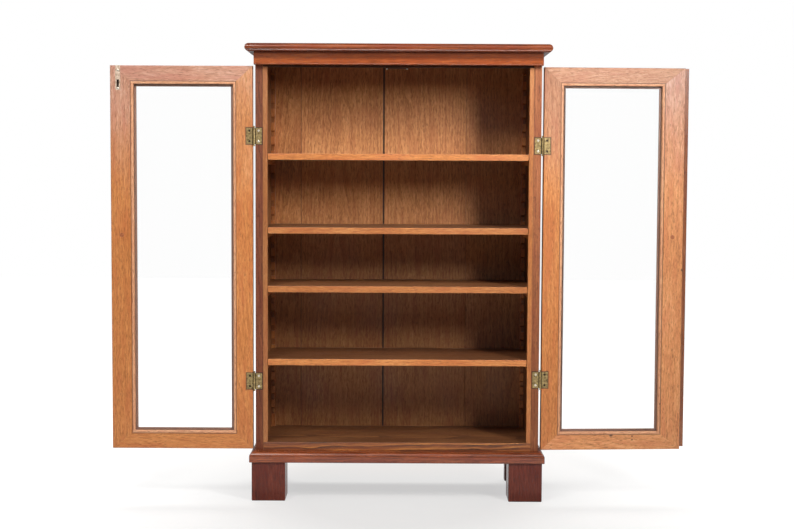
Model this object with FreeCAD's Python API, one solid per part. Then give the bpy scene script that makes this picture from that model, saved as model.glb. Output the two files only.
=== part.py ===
import FreeCAD, Part
import math
import os

# Free-standing oak bookcase with two glazed doors, shown with both doors swung fully open.
# Millimetres. X runs left to right, Y from front to back, Z up from the floor.
# The origin is on the floor, under the middle of the case.

# Carcass
carcass_width = 880.0
carcass_depth = 312.0
side_height = 1232.0
side_thickness = 24.0
bottom_thickness = 25.0
header_height = 44.5
header_depth = 24.0
edge_rounding = 1.5

# Back of upright tongued and grooved boards, with one open seam left of the middle
back_thickness = 12.0
back_rebate = 8.0
back_board_width = 271.0
back_board_chamfer = 1.0
tongue_length = 8.0
tongue_thickness = 4.0
tongue_play = 0.3
back_boards_left_of_seam = 2
back_boards = 4
open_seam_x = -48.0
open_seam_width = 4.0

# Feet and base moulding
foot_height = 120.5
front_foot_width = 104.0
front_foot_depth = 100.0
rear_left_foot_width = 82.0
rear_right_foot_width = 94.0
rear_foot_depth = 38.0
foot_inset = 7.0
foot_rounding = 3.0
base_fascia = 18.5
base_round = 14.0
base_foot_rounding = 3.0
base_side_overhang = 17.0
base_front_overhang = 40.0
base_member_width = 90.0

# Top board and frieze
top_thickness = 25.0
top_side_overhang = 28.5
top_front_overhang = 45.0
top_nose_flat = 0.4
frieze_height = 39.0
frieze_projection = 26.0
frieze_end_overhang = 2.5
frieze_rounding = 6.0

# Notched racks, cleats and shelves
rack_thickness = 13.0
rack_width = 22.0
notch_pitch = 45.5
notch_depth = 9.0
notch_lead = 6.0
first_notch_rise = 44.5
cleat_height = 14.0
cleat_width = 12.0
cleat_end_play = 0.5
notch_play = 1.0
shelf_thickness = 20.0
shelf_setback = 3.0
shelf_side_play = 1.0
shelf_back_play = 2.0
shelf_notches = (4, 9, 13, 18)

# Doors
meeting_gap = 4.0
door_top_clearance = 3.0
door_bottom_clearance = 4.0
closed_gap = 1.0
hinge_stile_face = 52.0
free_stile_face = 62.0
rail_face = 47.5
bead_width = 9.0
bead_depth = 10.0
bead_rounding = 4.0
bead_seam = 1.2
lip_width = 7.0
lip_depth = 9.0
lip_chamfer = 4.0
glass_thickness = 3.0
glass_play = 1.0
door_edge_rounding = 2.0
right_door_extra_turn = 3.5

# Cover strip on the meeting edge of the right door
astragal_overhang = 16.5
astragal_lap = 18.0
astragal_thickness = 8.0
astragal_foot_gap = 5.0
astragal_relief = 0.5

# Turned knobs, each on a tenon that passes through its stile
knob_from_edge = 33.0
knob_height = 822.0
knob_tenon_radius = 6.5
knob_base_radius = 9.0
knob_base_length = 4.0
knob_neck_radius = 7.5
knob_neck_length = 8.0
knob_ball_radius = 12.0

# Hinges
hinge_length = 50.0
hinge_axis_offset = 4.0
leaf_width = 20.0
leaf_thickness = 1.6
knuckle_radius = 3.6
middle_knuckle_length = 18.0
knuckle_gap = 0.3
pin_radius = 1.5
pin_play = 0.04
finial_neck_radius = 2.2
finial_neck_length = 1.0
finial_radius = 3.2
left_upper_hinge_drop = 214.5
left_lower_hinge_rise = 212.5
right_upper_hinge_drop = 241.0
right_lower_hinge_rise = 220.0

# Countersunk wood screws
screw_head_radius = 3.6
screw_shank_radius = 1.75
screw_length = 15.0
screw_spacing = 32.8
screw_play = 0.05
slot_width = 0.9
slot_depth = 0.7

# Flush bolt in the left door, and the stop under the header
bolt_from_edge = 24.0
bolt_plate_width = 15.0
bolt_plate_length = 75.0
bolt_radius = 3.5
bolt_depth = 8.0
bolt_travel = 12.0
bolt_top_setback = 1.0
bolt_guide_length = 15.0
bolt_slot_rise = 9.0
bolt_screw_from_end = 4.5
thumb_width = 6.0
thumb_height = 10.0
thumb_play = 0.5
thumb_recess = 0.2
bolt_hole_play = 0.5
stop_length = 69.0
stop_offset = -5.0
stop_depth = 18.0
stop_thickness = 4.0
stop_screw_inset = 3.5
dome_radius = 2.8

# Levels and planes that follow from the sizes above
half_width = carcass_width / 2
half_inside = half_width - side_thickness
front_y = (top_front_overhang - carcass_depth) / 2
rear_y = front_y + carcass_depth
back_y = rear_y - back_thickness
base_height = base_fascia + base_round
base_top = foot_height + base_height
floor_top = base_top + bottom_thickness
side_top = base_top + side_height
frieze_bottom = side_top - frieze_height
header_bottom = side_top - header_height
door_bottom = base_top + door_bottom_clearance
door_top = frieze_bottom - door_top_clearance
door_width = half_width - meeting_gap / 2
door_thickness = lip_depth + glass_thickness + bead_depth
glass_face = front_y + bead_depth
lip_face = glass_face + glass_thickness
outer_face = front_y + door_thickness
axis_x = half_width + hinge_axis_offset
axis_y = front_y - closed_gap / 2
open_edge = axis_x + hinge_axis_offset
free_edge = open_edge + door_width
left_hinge_heights = (door_top - left_upper_hinge_drop, door_bottom + left_lower_hinge_rise)
right_hinge_heights = (door_top - right_upper_hinge_drop, door_bottom + right_lower_hinge_rise)
notch_height = cleat_height + notch_play
tolerance = 1e-4


def point(x, y, z):
    return FreeCAD.Vector(x, y, z)


def block(x0, x1, y0, y1, z0, z1):
    corner = point(min(x0, x1), min(y0, y1), min(z0, z1))
    return Part.makeBox(abs(x1 - x0), abs(y1 - y0), abs(z1 - z0), corner)


def rod(radius, start, direction, length):
    return Part.makeCylinder(radius, length, start, direction)


def polygon_face(corners):
    return Part.Face(Part.makePolygon(corners + [corners[0]]))


# A board with its outline drawn in the front view, running back from y0 to y1
def front_prism(outline, y0, y1):
    face = polygon_face([point(x, y0, z) for x, z in outline])
    return face.extrude(point(0, y1 - y0, 0))


# Edges of a solid whose two ends both meet a test of place
def edges_where(solid, test):
    return [edge for edge in solid.Edges if all(test(vertex.Point) for vertex in edge.Vertexes)]


def upright_edges(solid, test):
    return [edge for edge in edges_where(solid, test) if not near(edge.Vertexes[0].Z, edge.Vertexes[1].Z)]


def level_edges(solid, test):
    return [edge for edge in edges_where(solid, test) if near(edge.Vertexes[0].Z, edge.Vertexes[1].Z)]


def near(a, b):
    return abs(a - b) < tolerance


def mirrored(shape):
    return shape.mirror(point(0, 0, 0), point(1, 0, 0))


def for_side(shape, side):
    return shape if side > 0 else mirrored(shape)


def save(name, shapes):
    shape = shapes[0] if len(shapes) == 1 else Part.makeCompound(shapes)
    shape.exportStep("parts/" + name + ".step")


# A countersunk screw driven along +Y from the surface at the given point, and the hole it needs
def screw_body(at, head_depth, length, play):
    along = point(0, 1, 0)
    head = Part.makeCone(screw_head_radius + play, screw_shank_radius + play, head_depth, at, along)
    shank = rod(screw_shank_radius + play, at, along, length + play)
    return head.fuse(shank).removeSplitter()


def slotted_screw(at, head_depth, length):
    body = screw_body(at, head_depth, length, 0.0)
    reach = screw_head_radius + slot_width
    slot = block(at.x - reach, at.x + reach, at.y - slot_depth, at.y + slot_depth,
                 at.z - slot_width / 2, at.z + slot_width / 2)
    return body.cut(slot)


def screw_heights(height):
    return (height - screw_spacing / 2, height + screw_spacing / 2)


# Both leaves of a hinge lie flush in the wood when the door is open: one in the edge of the
# side, the other in the inside face of the door
def leaf_span(on_door):
    if on_door:
        return open_edge, open_edge + leaf_width
    return half_width - leaf_width, half_width


def leaf_screw_points(height, on_door):
    inner, outer = leaf_span(on_door)
    return [point((inner + outer) / 2, front_y, z) for z in screw_heights(height)]


def leaf_recess(height, on_door):
    inner, outer = leaf_span(on_door)
    recess = block(inner, outer, front_y, front_y + leaf_thickness,
                   height - hinge_length / 2, height + hinge_length / 2)
    for at in leaf_screw_points(height, on_door):
        recess = recess.fuse(screw_body(at, leaf_thickness, screw_length, screw_play))
    return recess


def knuckle(radius, low, high):
    return rod(radius, point(axis_x, axis_y, low), point(0, 0, 1), high - low)


def hinge_leaf(height, on_door):
    low = height - hinge_length / 2
    high = height + hinge_length / 2
    middle_low = height - middle_knuckle_length / 2
    middle_high = height + middle_knuckle_length / 2
    middle = [(middle_low, middle_high)]
    outer = [(low, middle_low - knuckle_gap), (middle_high + knuckle_gap, high)]
    own = middle if on_door else outer
    others = outer if on_door else middle
    inner_edge, outer_edge = leaf_span(on_door)
    far_edge = outer_edge if on_door else inner_edge
    leaf = block(axis_x, far_edge, front_y, front_y + leaf_thickness, low, high)
    for start, end in others:
        clear = knuckle(knuckle_radius + knuckle_gap, start - knuckle_gap, end + knuckle_gap)
        leaf = leaf.cut(clear)
    for start, end in own:
        leaf = leaf.fuse(knuckle(knuckle_radius, start, end))
    leaf = leaf.cut(knuckle(pin_radius + pin_play, low, high))
    for at in leaf_screw_points(height, on_door):
        leaf = leaf.cut(screw_body(at, leaf_thickness, screw_length, screw_play))
    return leaf.removeSplitter()


def hinge_pin(height):
    reach = hinge_length / 2 + finial_neck_length
    ball_offset = reach + math.sqrt(finial_radius ** 2 - finial_neck_radius ** 2)
    pin = knuckle(pin_radius, height - reach, height + reach)
    for sign in (-1, 1):
        neck_start = point(axis_x, axis_y, height + sign * hinge_length / 2)
        neck = rod(finial_neck_radius, neck_start, point(0, 0, sign), finial_neck_length)
        ball = Part.makeSphere(finial_radius, point(axis_x, axis_y, height + sign * ball_offset))
        pin = pin.fuse(neck).fuse(ball)
    return pin.removeSplitter()


def hinge_screws(heights, on_door):
    points = [at for height in heights for at in leaf_screw_points(height, on_door)]
    return [slotted_screw(at, leaf_thickness, screw_length) for at in points]


# Feet

def foot(outer_x, front_edge, width, depth):
    solid = block(outer_x - width, outer_x, front_edge, front_edge + depth, 0, foot_height)
    upright = upright_edges(solid, lambda p: True)
    lower = edges_where(solid, lambda p: near(p.z, 0))
    return solid.makeFillet(foot_rounding, upright + lower)


def make_feet():
    outer_x = half_width + base_side_overhang - foot_inset
    front_edge = front_y - base_front_overhang + foot_inset
    for side, name, rear_width in ((-1, "left", rear_left_foot_width), (1, "right", rear_right_foot_width)):
        front_foot = foot(outer_x, front_edge, front_foot_width, front_foot_depth)
        rear_foot = foot(outer_x, rear_y - rear_foot_depth, rear_width, rear_foot_depth)
        save("front_" + name + "_foot", [for_side(front_foot, side)])
        save("rear_" + name + "_foot", [for_side(rear_foot, side)])


# Base moulding: section with a rounded foot, an upright face and a quarter-round top.
# "across" is the distance in from the outer face.
def base_section(place):
    foot_bow = base_foot_rounding * (1 - math.sqrt(0.5))
    bow = base_round * (1 - math.sqrt(0.5))
    round_start = place(0, base_fascia)
    round_end = place(base_round, base_height)
    foot_start = place(base_foot_rounding, 0)
    foot_end = place(0, base_foot_rounding)
    corners = [round_end, place(base_member_width, base_height), place(base_member_width, 0), foot_start]
    edges = [Part.LineSegment(a, b).toShape() for a, b in zip(corners, corners[1:])]
    edges.append(Part.Arc(foot_start, place(foot_bow, foot_bow), foot_end).toShape())
    edges.append(Part.LineSegment(foot_end, round_start).toShape())
    edges.append(Part.Arc(round_start, place(bow, base_height - bow), round_end).toShape())
    return Part.Face(Part.Wire(edges))


def make_base():
    outer_x = half_width + base_side_overhang
    front_edge = front_y - base_front_overhang
    depth = rear_y - front_edge
    front_face = base_section(lambda across, up: point(-outer_x, front_edge + across, foot_height + up))
    side_face = base_section(lambda across, up: point(outer_x - across, front_edge, foot_height + up))
    front = front_face.extrude(point(2 * outer_x, 0, 0))
    side = side_face.extrude(point(0, depth, 0))
    corner = point(outer_x, front_edge, foot_height)
    ahead = [corner, corner + point(-depth, depth, 0), corner + point(-depth, 0, 0)]
    front_of_mitre = polygon_face(ahead).extrude(point(0, 0, base_height))
    beside = [corner, corner + point(-depth, depth, 0), corner + point(0, depth, 0)]
    behind_mitre = polygon_face(beside).extrude(point(0, 0, base_height))
    front = front.cut(behind_mitre).cut(mirrored(behind_mitre))
    side = side.cut(front_of_mitre)
    inner_x = outer_x - base_member_width
    rear = block(-inner_x, inner_x, rear_y - base_member_width, rear_y, foot_height, base_top)
    save("base_front", [front])
    save("base_left", [mirrored(side)])
    save("base_right", [side])
    save("base_rear", [rear])


# Carcass boards

def make_sides():
    side = block(half_inside, half_width, front_y, rear_y, base_top, side_top)
    side = side.cut(block(half_inside, half_inside + back_rebate, back_y, rear_y, base_top, side_top))
    corner = upright_edges(side, lambda p: near(p.x, half_width) and near(p.y, front_y))
    side = side.makeFillet(edge_rounding, corner)
    for sign, name, heights in ((-1, "left", left_hinge_heights), (1, "right", right_hinge_heights)):
        board = side
        for height in heights:
            board = board.cut(leaf_recess(height, False))
        save(name + "_side", [for_side(board, sign)])


def make_bottom_board():
    board = block(-half_inside, half_inside, front_y, back_y, base_top, floor_top)
    nose = edges_where(board, lambda p: near(p.y, front_y) and near(p.z, floor_top))
    save("bottom_board", [board.makeFillet(edge_rounding, nose)])


def back_tongue(edge, play):
    middle = (back_y + rear_y) / 2
    half = tongue_thickness / 2 + play
    return block(edge, edge + tongue_length + play, middle - half, middle + half, base_top, side_top)


def make_back():
    edge = half_inside + back_rebate
    for index in range(back_boards):
        from_seam = index - back_boards_left_of_seam
        left = open_seam_x + from_seam * back_board_width
        right = left + back_board_width
        if from_seam == 0:
            left += open_seam_width / 2
        if from_seam == -1:
            right -= open_seam_width / 2
        if index == 0:
            left = -edge
        if index == back_boards - 1:
            right = edge
        board = block(left, right, back_y, rear_y, base_top, side_top)
        inside = upright_edges(board, lambda p: near(p.y, back_y))
        board = board.makeChamfer(back_board_chamfer, inside)
        if index < back_boards - 1:
            board = board.fuse(back_tongue(right, 0.0)).removeSplitter()
        if index > 0:
            board = board.cut(back_tongue(left, tongue_play))
        save("back_board_%d" % (index + 1), [board])


def make_header():
    header = block(-half_inside, half_inside, front_y, front_y + header_depth, header_bottom, side_top)
    radius = screw_shank_radius + screw_play
    for at in stop_screw_points():
        header = header.cut(rod(radius, at, point(0, 0, 1), screw_length + screw_play))
    save("header_rail", [header])


def make_frieze():
    reach = half_width + frieze_end_overhang
    face = front_y - frieze_projection
    frieze = block(-reach, reach, face, front_y, frieze_bottom, side_top)
    lower = edges_where(frieze, lambda p: near(p.y, face) and near(p.z, frieze_bottom))
    frieze = frieze.makeFillet(frieze_rounding, lower)
    bolt_x = -half_width + door_width - bolt_from_edge
    bolt_y = front_y - closed_gap - bolt_depth
    mouth = point(bolt_x, bolt_y, frieze_bottom)
    hole = rod(bolt_radius + bolt_hole_play, mouth, point(0, 0, 1), bolt_travel)
    save("frieze", [frieze.cut(hole)])


def make_top_board():
    reach = half_width + top_side_overhang
    face = front_y - top_front_overhang
    board = block(-reach, reach, face, rear_y, side_top, side_top + top_thickness)
    nosed = level_edges(board, lambda p: near(p.y, face))
    nosed += level_edges(board, lambda p: near(p.x, reach))
    nosed += level_edges(board, lambda p: near(p.x, -reach))
    save("top_board", [board.makeFillet((top_thickness - top_nose_flat) / 2, nosed)])


# A small block under the header, held by two dome-headed screws, against which the doors close
def stop_screw_points():
    reach = stop_length / 2 - stop_screw_inset
    middle_y = front_y + stop_depth / 2
    low = header_bottom - stop_thickness
    return [point(stop_offset + sign * reach, middle_y, low) for sign in (-1, 1)]


def make_stop():
    low = header_bottom - stop_thickness
    stop = block(stop_offset - stop_length / 2, stop_offset + stop_length / 2,
                 front_y, front_y + stop_depth, low, header_bottom)
    screws = []
    for at in stop_screw_points():
        stop = stop.cut(rod(screw_shank_radius + screw_play, at, point(0, 0, 1), stop_thickness))
        dome = Part.makeSphere(dome_radius, at, point(0, 0, 1), -90, 0)
        screws.append(dome.fuse(rod(screw_shank_radius, at, point(0, 0, 1), screw_length)).removeSplitter())
    save("door_stop", [stop])
    save("door_stop_screws", screws)


# Racks: upright strips with a row of notches in the edge that faces the other rack

def notch_levels():
    length = header_bottom - floor_top
    room = length - first_notch_rise - notch_height - notch_lead
    count = int(room / notch_pitch) + 1
    return [floor_top + first_notch_rise + index * notch_pitch for index in range(count)]


def rack(plain_y, notched_y):
    inward = notch_depth if plain_y > notched_y else -notch_depth
    outline = [(plain_y, header_bottom), (plain_y, floor_top), (notched_y, floor_top)]
    for level in notch_levels():
        outline.append((notched_y, level))
        outline.append((notched_y + inward, level))
        outline.append((notched_y + inward, level + notch_height))
        outline.append((notched_y, level + notch_height + notch_lead))
    outline.append((notched_y, header_bottom))
    face = polygon_face([point(half_inside - rack_thickness, y, z) for y, z in outline])
    return face.extrude(point(rack_thickness, 0, 0))


def make_racks():
    front_rack = rack(front_y, front_y + rack_width)
    rear_rack = rack(back_y, back_y - rack_width)
    for side, name in ((-1, "left"), (1, "right")):
        save("front_" + name + "_rack", [for_side(front_rack, side)])
        save("rear_" + name + "_rack", [for_side(rear_rack, side)])


# Cleats lie in the notches, and each shelf rests on a pair of them

def shelf_levels():
    levels = notch_levels()
    return [levels[index] for index in shelf_notches]


def make_cleats():
    front_end = front_y + rack_width - notch_depth + cleat_end_play
    rear_end = back_y - rack_width + notch_depth - cleat_end_play
    outer_x = half_inside - (rack_thickness - cleat_width) / 2
    cleats = [
        block(outer_x - cleat_width, outer_x, front_end, rear_end, level, level + cleat_height)
        for level in shelf_levels()
    ]
    save("left_cleats", [mirrored(cleat) for cleat in cleats])
    save("right_cleats", cleats)


def make_shelves():
    reach = half_inside - shelf_side_play
    inner = half_inside - rack_thickness - shelf_side_play
    front_edge = front_y + shelf_setback
    rear_edge = back_y - shelf_back_play
    front_corner = front_y + rack_width + shelf_side_play
    rear_corner = back_y - rack_width - shelf_side_play
    for index, level in enumerate(shelf_levels()):
        low = level + cleat_height
        high = low + shelf_thickness
        shelf = block(-reach, reach, front_edge, rear_edge, low, high)
        for side in (-1, 1):
            shelf = shelf.cut(block(side * inner, side * reach, front_edge, front_corner, low, high))
            shelf = shelf.cut(block(side * inner, side * reach, rear_corner, rear_edge, low, high))
        nose = level_edges(shelf, lambda p: near(p.y, front_edge))
        save("shelf_%d" % (index + 1), [shelf.makeFillet(edge_rounding, nose)])


# Doors. Each is drawn as the right one, swung straight out, then mirrored or turned into place.

def placed(shape, side):
    if side < 0:
        return mirrored(shape)
    turned = shape.copy()
    turned.rotate(point(axis_x, axis_y, 0), point(0, 0, 1), right_door_extra_turn)
    return turned


def save_door(name, shapes, side):
    save(name, [placed(shape, side) for shape in shapes])


# The four corners of the opening, set back from the edges of the door by the widths of the frame
def opening_corners(step):
    left = open_edge + hinge_stile_face + step
    right = free_edge - free_stile_face - step
    low = door_bottom + rail_face + step
    high = door_top - rail_face - step
    return [(left, low), (right, low), (right, high), (left, high)]


def door_corners():
    low = [(open_edge, door_bottom), (free_edge, door_bottom)]
    high = [(free_edge, door_top), (open_edge, door_top)]
    return low + high


# One mitred strip of a frame between an outer and an inner rectangle, from corner to next corner
def mitred_outline(outer, inner, index):
    after = (index + 1) % len(outer)
    return [outer[index], outer[after], inner[after], inner[index]]


# A frame member is as wide as its face in front of the glass, and a lip wider behind it
def frame_member(index):
    face_outline = mitred_outline(door_corners(), opening_corners(0), index)
    lip = bead_width + lip_width
    lip_outline = mitred_outline(door_corners(), opening_corners(lip), index)
    member = front_prism(face_outline, front_y, lip_face)
    member = member.fuse(front_prism(lip_outline, lip_face, outer_face)).removeSplitter()
    inner = opening_corners(lip)
    start = inner[index]
    end = inner[(index + 1) % len(inner)]
    low_x, high_x = sorted((start[0], end[0]))
    low_z, high_z = sorted((start[1], end[1]))
    bevelled = edges_where(member, lambda p: (
        near(p.y, outer_face)
        and low_x - tolerance < p.x < high_x + tolerance
        and low_z - tolerance < p.z < high_z + tolerance
    ))
    return member.makeChamfer(lip_chamfer, bevelled)


def rounded_outside(member, index):
    corners = door_corners()
    start = corners[index]
    end = corners[(index + 1) % len(corners)]
    upright = near(start[0], end[0])
    outside = edges_where(member, lambda p: (
        near(p.y, front_y) and (near(p.x, start[0]) if upright else near(p.z, start[1]))
    ))
    return member.makeFillet(door_edge_rounding, outside)


def glazing_bead(index):
    outer = opening_corners(0)
    inner = opening_corners(bead_width)
    bead = front_prism(mitred_outline(outer, inner, index), front_y, glass_face)
    nose = bead_edges(bead, inner, index)
    bead = bead.makeFillet(bead_rounding, nose)
    seam = bead_edges(bead, outer, index)
    return bead.makeChamfer(bead_seam, seam)


# Front edges of a bead that end at two neighbouring corners of a rectangle
def bead_edges(bead, corners, index):
    ends = (corners[index], corners[(index + 1) % len(corners)])
    return edges_where(bead, lambda p: (
        near(p.y, front_y) and any(near(p.x, x) and near(p.z, z) for x, z in ends)
    ))


def glass_pane():
    low, high = opening_corners(glass_play)[0], opening_corners(glass_play)[2]
    return block(low[0], high[0], glass_face, lip_face, low[1], high[1])


def knob_point():
    return point(free_edge - knob_from_edge, front_y, knob_height)


def knob():
    at = knob_point()
    along = point(0, 1, 0)
    seat = point(at.x, outer_face, at.z)
    neck_start = point(at.x, outer_face + knob_base_length, at.z)
    ball_y = outer_face + knob_base_length + knob_neck_length + knob_ball_radius / 2
    solid = rod(knob_tenon_radius, at, along, door_thickness)
    solid = solid.fuse(rod(knob_base_radius, seat, along, knob_base_length))
    solid = solid.fuse(rod(knob_neck_radius, neck_start, along, knob_neck_length))
    solid = solid.fuse(Part.makeSphere(knob_ball_radius, point(at.x, ball_y, at.z)))
    return solid.removeSplitter()


def knob_hole():
    return rod(knob_tenon_radius + screw_play, knob_point(), point(0, 1, 0), door_thickness)


# Strip along the meeting edge, on the outside of the right door
def astragal():
    inner_x = free_edge - astragal_lap
    outer_x = free_edge + astragal_overhang
    low = door_bottom + astragal_foot_gap
    strip = block(inner_x, outer_x, outer_face, outer_face + astragal_thickness, low, door_top)
    outside = upright_edges(strip, lambda p: near(p.y, outer_face + astragal_thickness))
    strip = strip.makeFillet(astragal_thickness / 2, outside)
    relief = block(free_edge, outer_x, outer_face, outer_face + astragal_relief, low, door_top)
    return strip.cut(relief)


# Flush bolt: a slotted plate let into the inside face, and a round bolt behind it
def bolt_x():
    return free_edge - bolt_from_edge


def bolt_slot_low():
    return door_top - bolt_plate_length + bolt_slot_rise


def bolt_screw_points():
    low = door_top - bolt_plate_length + bolt_screw_from_end
    high = door_top - bolt_guide_length
    return [point(bolt_x(), front_y, z) for z in (low, high)]


def bolt_plate():
    x = bolt_x()
    low = door_top - bolt_plate_length
    plate = block(x - bolt_plate_width / 2, x + bolt_plate_width / 2,
                  front_y, front_y + leaf_thickness, low, door_top)
    slot_half = thumb_width / 2 + thumb_play
    slot_high = bolt_slot_low() + thumb_height + bolt_travel + 2 * thumb_play
    plate = plate.cut(block(x - slot_half, x + slot_half, front_y, front_y + leaf_thickness,
                            bolt_slot_low(), slot_high))
    for at in bolt_screw_points():
        plate = plate.cut(screw_body(at, leaf_thickness, bolt_screw_length(), screw_play))
    return plate


# The plate's screws stop short of the bolt behind them
def bolt_screw_length():
    return bolt_depth - bolt_radius - thumb_play


def bolt_mortise():
    x = bolt_x()
    low = door_top - bolt_plate_length
    recess = block(x - bolt_plate_width / 2, x + bolt_plate_width / 2,
                   front_y, front_y + leaf_thickness, low, door_top)
    half = bolt_radius + thumb_play
    pocket_high = door_top - bolt_guide_length - screw_head_radius
    pocket = block(x - half, x + half, front_y, front_y + bolt_depth + half, bolt_slot_low(), pocket_high)
    bore = rod(bolt_radius + pin_play, point(x, front_y + bolt_depth, bolt_slot_low()),
               point(0, 0, 1), door_top - bolt_slot_low())
    mortise = recess.fuse(pocket).fuse(bore)
    for at in bolt_screw_points():
        mortise = mortise.fuse(screw_body(at, leaf_thickness, bolt_screw_length(), screw_play))
    return mortise


def slide_bolt():
    x = bolt_x()
    low = bolt_slot_low() + thumb_play
    high = door_top - bolt_top_setback
    shaft = rod(bolt_radius, point(x, front_y + bolt_depth, low), point(0, 0, 1), high - low)
    thumb = block(x - thumb_width / 2, x + thumb_width / 2,
                  front_y + thumb_recess, front_y + bolt_depth, low, low + thumb_height)
    return shaft.fuse(thumb).removeSplitter()


def make_door(name, side, hinge_heights):
    bottom_rail, free_stile, top_rail, hinge_stile = [
        rounded_outside(frame_member(index), index) for index in range(4)
    ]
    for height in hinge_heights:
        hinge_stile = hinge_stile.cut(leaf_recess(height, True))
    free_stile = free_stile.cut(knob_hole())
    if side < 0:
        free_stile = free_stile.cut(bolt_mortise())
        top_rail = top_rail.cut(bolt_mortise())
    save_door(name + "_bottom_rail", [bottom_rail], side)
    save_door(name + "_free_stile", [free_stile], side)
    save_door(name + "_top_rail", [top_rail], side)
    save_door(name + "_hinge_stile", [hinge_stile], side)
    save_door(name + "_glass", [glass_pane()], side)
    save_door(name + "_glazing_beads", [glazing_bead(index) for index in range(4)], side)
    save_door(name + "_knob", [knob()], side)
    save_door(name + "_hinge_leaves", [hinge_leaf(height, True) for height in hinge_heights], side)
    save_door(name + "_hinge_screws", hinge_screws(hinge_heights, True), side)


def make_carcass_hinges():
    leaves = []
    pins = []
    screws = []
    for side, heights in ((-1, left_hinge_heights), (1, right_hinge_heights)):
        leaves += [for_side(hinge_leaf(height, False), side) for height in heights]
        pins += [for_side(hinge_pin(height), side) for height in heights]
        screws += [for_side(screw, side) for screw in hinge_screws(heights, False)]
    save("carcass_hinge_leaves", leaves)
    save("hinge_pins", pins)
    save("carcass_hinge_screws", screws)


def make_flush_bolt():
    screws = [slotted_screw(at, leaf_thickness, bolt_screw_length()) for at in bolt_screw_points()]
    save_door("bolt_plate", [bolt_plate()], -1)
    save_door("bolt_plate_screws", screws, -1)
    save_door("slide_bolt", [slide_bolt()], -1)


os.makedirs("parts", exist_ok=True)
make_feet()
make_base()
make_sides()
make_bottom_board()
make_back()
make_header()
make_frieze()
make_top_board()
make_stop()
make_racks()
make_cleats()
make_shelves()
make_carcass_hinges()
make_door("left", -1, left_hinge_heights)
make_door("right", 1, right_hinge_heights)
save_door("right_astragal", [astragal()], 1)
make_flush_bolt()
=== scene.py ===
import math
import random

import bpy
from mathutils import Euler, Matrix, Vector


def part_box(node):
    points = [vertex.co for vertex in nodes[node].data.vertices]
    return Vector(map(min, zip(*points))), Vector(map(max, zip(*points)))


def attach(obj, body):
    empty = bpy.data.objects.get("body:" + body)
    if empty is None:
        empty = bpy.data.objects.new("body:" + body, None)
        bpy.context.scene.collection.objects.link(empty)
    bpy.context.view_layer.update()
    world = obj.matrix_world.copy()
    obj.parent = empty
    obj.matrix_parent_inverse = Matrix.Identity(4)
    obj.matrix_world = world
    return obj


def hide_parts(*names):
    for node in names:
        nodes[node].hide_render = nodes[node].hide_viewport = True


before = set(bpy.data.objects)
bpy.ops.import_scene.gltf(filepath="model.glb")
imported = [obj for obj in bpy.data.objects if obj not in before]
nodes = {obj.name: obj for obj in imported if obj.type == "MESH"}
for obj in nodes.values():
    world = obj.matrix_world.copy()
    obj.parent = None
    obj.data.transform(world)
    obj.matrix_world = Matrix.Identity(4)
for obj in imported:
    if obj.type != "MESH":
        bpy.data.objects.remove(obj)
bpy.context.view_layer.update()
scene = bpy.context.scene
mm = 0.001
pureWhite = (1.0, 1.0, 1.0, 1.0)
noiseMiddle = (0.3, 0.7)  # where most of a noise's values lie
print("bookcase frame loaded,", len(nodes), "nodes")


def toLinear(hexText):  # sRGB hex to the linear colour that the sockets take
    parts = [int(hexText[i:i + 2], 16) / 255 for i in (1, 3, 5)]
    return tuple(c / 12.92 if c <= 0.04045 else ((c + 0.055) / 1.055) ** 2.4 for c in parts) + (1.0,)


# An input is a value, the socket it is linked to, or a node for its first output
def addNode(tree, kind, inputs=None, **settings):
    node = tree.nodes.new(kind)
    for name, value in settings.items():
        setattr(node, name, value)
    for name, value in (inputs or {}).items():
        if isinstance(value, bpy.types.Node):
            value = value.outputs[0]
        if isinstance(value, bpy.types.NodeSocket):
            tree.links.new(value, node.inputs[name])
        else:
            node.inputs[name].default_value = value
    return node


def span(low, high, first=0.0, last=1.0):  # the limits of a range, and what they turn into
    return {"From Min": low, "From Max": high, "To Min": first, "To Max": last}


def newMaterial(name):
    material = bpy.data.materials.new(name)
    material.use_nodes = True
    material.node_tree.nodes.clear()
    return material


def dress(nodeName, material):  # a CAD node keeps its mesh and takes the finish in every slot
    mesh = nodes[nodeName].data
    if not mesh.materials:
        mesh.materials.append(material)
    for index in range(len(mesh.materials)):
        mesh.materials[index] = material


# Camera: stands where the photograph was taken, 4.5 m in front and a little above the middle
photoCamera = {
    "place": (0.0054, -4.6678, 1.0314),
    "yaw": -0.098,
    "pitch": 3.745,
    "roll": 0.268,
    "focalPixels": 1469.4,
    "frameWidth": 794,
    "sensorMm": 36.0,
}


def setCamera(c):
    yaw, pitch, roll = (math.radians(c[k]) for k in ("yaw", "pitch", "roll"))
    ahead = Vector((math.sin(yaw) * math.cos(pitch), math.cos(yaw) * math.cos(pitch), -math.sin(pitch)))
    level = Vector((math.cos(yaw), -math.sin(yaw), 0.0))
    above = level.cross(ahead)
    right = math.cos(roll) * level + math.sin(roll) * above
    upward = -math.sin(roll) * level + math.cos(roll) * above
    turn = Matrix((right, upward, -ahead)).transposed().to_4x4()
    lens = bpy.data.cameras.new("photoCamera")
    lens.sensor_fit = "HORIZONTAL"
    lens.sensor_width = c["sensorMm"]
    lens.lens = c["sensorMm"] * c["focalPixels"] / c["frameWidth"]
    camera = bpy.data.objects.new("photoCamera", lens)
    camera.matrix_world = Matrix.Translation(c["place"]) @ turn
    scene.collection.objects.link(camera)
    scene.camera = camera


setCamera(photoCamera)
print("camera set")

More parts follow.
